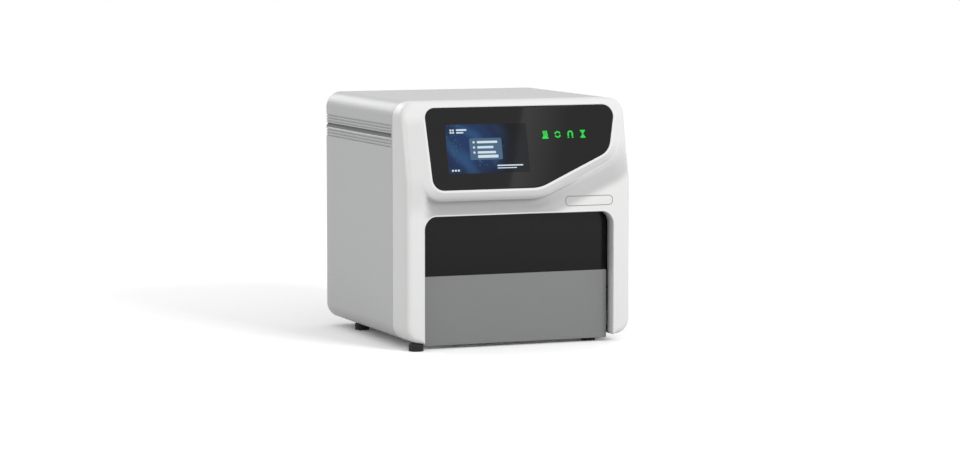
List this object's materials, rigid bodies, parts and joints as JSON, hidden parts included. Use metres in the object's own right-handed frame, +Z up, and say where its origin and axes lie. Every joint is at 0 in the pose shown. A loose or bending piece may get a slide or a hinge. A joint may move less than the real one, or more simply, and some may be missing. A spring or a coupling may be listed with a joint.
{
  "type": "nucleic acid extractor",
  "caption": "Bench-top magnetic rod nucleic acid extractor with a leaning display, tinted window, loading drawer, heated plate deck and a lifting processing head.",
  "frame": {"origin": "centre of the bounding box's underside, where the feet stand", "axes": "+Z up, -Y out of the front with the display and drawer, +X to the right seen from the front"},
  "size_m": [0.424, 0.43, 0.429],
  "materials": {
    "cover": "satin",
    "bezel": "satin moulded",
    "display": "gloss",
    "window": "gloss tinted",
    "drawer_grey": "satin",
    "frame_metal": "brushed",
    "zinc": "zinc plated",
    "dark_plastic": "matte",
    "motor": "satin black",
    "board": "solder resist",
    "white_plastic": "matte",
    "rubber": "matte",
    "shaft": "ground steel",
    "anodised": "black anodised",
    "lamp": "clear",
    "rear_paint": "fine texture"
  },
  "bodies": {
    "chassis": {"housing_cover": "cover", "front_bezel": "bezel", "display_glass": "display", "screen_module": "motor", "lamp_board": "board", "view_window": "window", "base_plate": "zinc", "left_frame": "frame_metal", "right_frame": "frame_metal", "bulkhead": "frame_metal", "rear_panel": "rear_paint", "rubber_feet": "rubber", "fan_frame": "dark_plastic", "fan_guard": "shaft", "mains_inlet": "dark_plastic", "switch_housing": "dark_plastic", "data_ports": "zinc", "power_supply": "zinc", "main_board": "board", "driver_board": "board", "uv_lamp": "lamp", "uv_lamp_holders": "white_plastic", "slide_fixed": "zinc", "drawer_motor": "motor", "gantry_rails": "zinc", "gantry_motor": "motor", "housing_screws": "zinc"},
    "fan": {"fan_rotor": "dark_plastic"},
    "fuses": {"fuse_drawer": "dark_plastic"},
    "rocker": {"power_rocker": "dark_plastic"},
    "drawer": {"drawer_front": "drawer_grey", "drawer_tray": "zinc", "plate_deck": "anodised", "heater_blocks": "frame_metal", "drawer_rack": "white_plastic", "slide_inner": "zinc"},
    "slides": {"slide_middle": "zinc"},
    "pinion": {"drive_pinion": "white_plastic"},
    "gantry": {"gantry_frame": "frame_metal", "lift_rails": "zinc", "lift_motor": "motor"},
    "gantry_drive": {"gantry_screw": "shaft"},
    "lift": {"lift_plate": "frame_metal", "sleeve_frame": "anodised", "guide_shafts": "shaft", "magnet_motor": "motor"},
    "lift_drive": {"lift_screw": "shaft"},
    "magnets": {"magnet_carrier": "frame_metal", "magnet_rods": "shaft"},
    "magnet_drive": {"magnet_screw": "shaft"}
  },
  "joints": [
    {"name": "drawer_slide", "type": "slide", "parent": "chassis", "child": "drawer", "axis": [0, -1, 0], "range_m": [0, 0.185]},
    {"name": "slide_extend", "type": "slide", "parent": "chassis", "child": "slides", "axis": [0, -1, 0], "range_m": [0, 0.0925]},
    {"name": "pinion_spin", "type": "hinge", "parent": "chassis", "child": "pinion", "pos_m": [-0.164, -0.15, 0.0748], "axis": [1, 0, 0], "continuous": true},
    {"name": "gantry_slide", "type": "slide", "parent": "chassis", "child": "gantry", "axis": [0, -1, 0], "range_m": [0, 0.045]},
    {"name": "gantry_screw_spin", "type": "hinge", "parent": "chassis", "child": "gantry_drive", "pos_m": [0.15, 0, 0.182], "axis": [0, 1, 0], "continuous": true},
    {"name": "lift_slide", "type": "slide", "parent": "gantry", "child": "lift", "axis": [0, 0, -1], "range_m": [0, 0.05]},
    {"name": "lift_screw_spin", "type": "hinge", "parent": "gantry", "child": "lift_drive", "pos_m": [0, 0.0004, 0.2], "axis": [0, 0, 1], "continuous": true},
    {"name": "magnet_slide", "type": "slide", "parent": "lift", "child": "magnets", "axis": [0, 0, -1], "range_m": [0, 0.06]},
    {"name": "magnet_screw_spin", "type": "hinge", "parent": "lift", "child": "magnet_drive", "pos_m": [0, -0.0671, 0.2], "axis": [0, 0, 1], "continuous": true},
    {"name": "fan_spin", "type": "hinge", "parent": "chassis", "child": "fan", "pos_m": [-0.105, 0.197, 0.334], "axis": [0, 1, 0], "continuous": true},
    {"name": "power_switch", "type": "hinge", "parent": "chassis", "child": "rocker", "pos_m": [-0.145, 0.208, 0.12], "axis": [1, 0, 0], "range_deg": [0, 20]},
    {"name": "fuse_drawer_slide", "type": "slide", "parent": "chassis", "child": "fuses", "axis": [0, 1, 0], "range_m": [0, 0.014]}
  ],
  "couplings": [
    {"joint": "slide_extend", "follows": "drawer_slide", "ratio": 0.5},
    {"joint": "pinion_spin", "follows": "drawer_slide", "rad_per_m": -92.593},
    {"joint": "gantry_screw_spin", "follows": "gantry_slide", "rad_per_m": 785.4},
    {"joint": "lift_screw_spin", "follows": "lift_slide", "rad_per_m": 785.4},
    {"joint": "magnet_screw_spin", "follows": "magnet_slide", "rad_per_m": 785.4}
  ]
}
